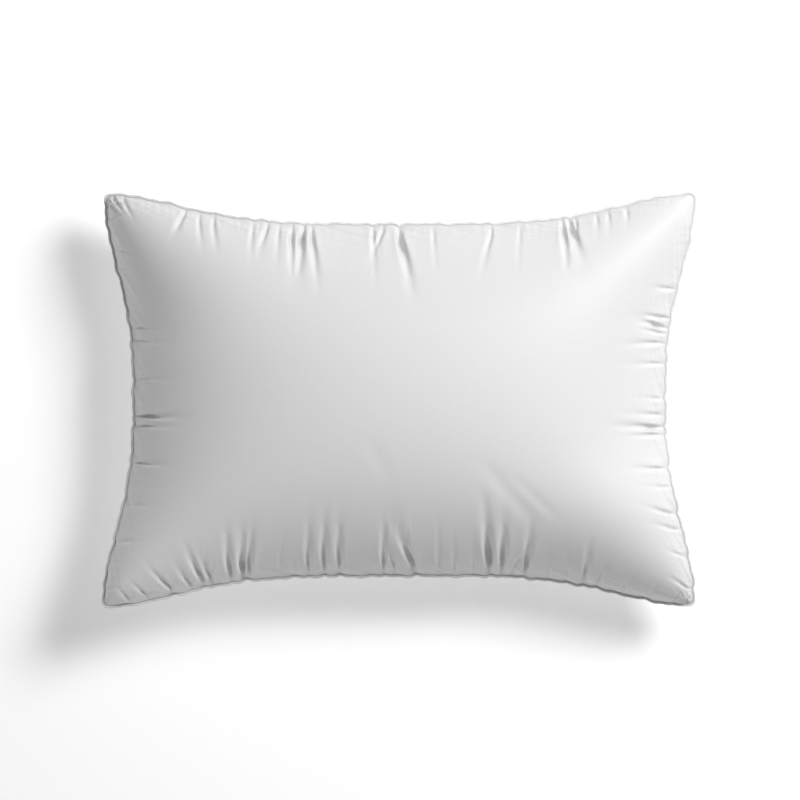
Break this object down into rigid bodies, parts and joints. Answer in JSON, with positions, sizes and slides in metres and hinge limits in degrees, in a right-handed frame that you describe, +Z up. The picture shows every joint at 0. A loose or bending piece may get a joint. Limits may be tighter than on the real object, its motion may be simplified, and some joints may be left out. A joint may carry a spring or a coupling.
{
  "type": "bed pillow",
  "caption": "Plump rectangular bed pillow: two cotton panels seamed round corded piping and filled with soft fibre.",
  "frame": {"origin": "on the surface the pillow lies on, under the middle of its outline", "axes": "+X along the long sides, +Y along the short sides, +Z up out of the crown of the face panel"},
  "size_m": [0.6664, 0.4664, 0.2045],
  "materials": {
    "shell_cotton": "smooth tightly woven white cotton with a faint sheen",
    "piping_cotton": "the same white cotton cut on the bias and folded round a cord",
    "cord_cotton": "twisted undyed cotton cord, matt",
    "fibre_fill": "loose white hollow polyester fibre, matt and fluffy",
    "sewing_thread": "white spun polyester sewing thread",
    "label_satin": "blank white satin ribbon, slightly shiny"
  },
  "bodies": {
    "root": {"face_panel": "shell_cotton", "back_panel": "shell_cotton", "piping_tape": "piping_cotton", "piping_cord": "cord_cotton", "fibre_fill": "fibre_fill", "seam_needle_thread": "sewing_thread", "seam_bobbin_thread": "sewing_thread", "overlock_thread": "sewing_thread", "closing_thread": "sewing_thread", "care_label": "label_satin"}
  },
  "joints": []
}
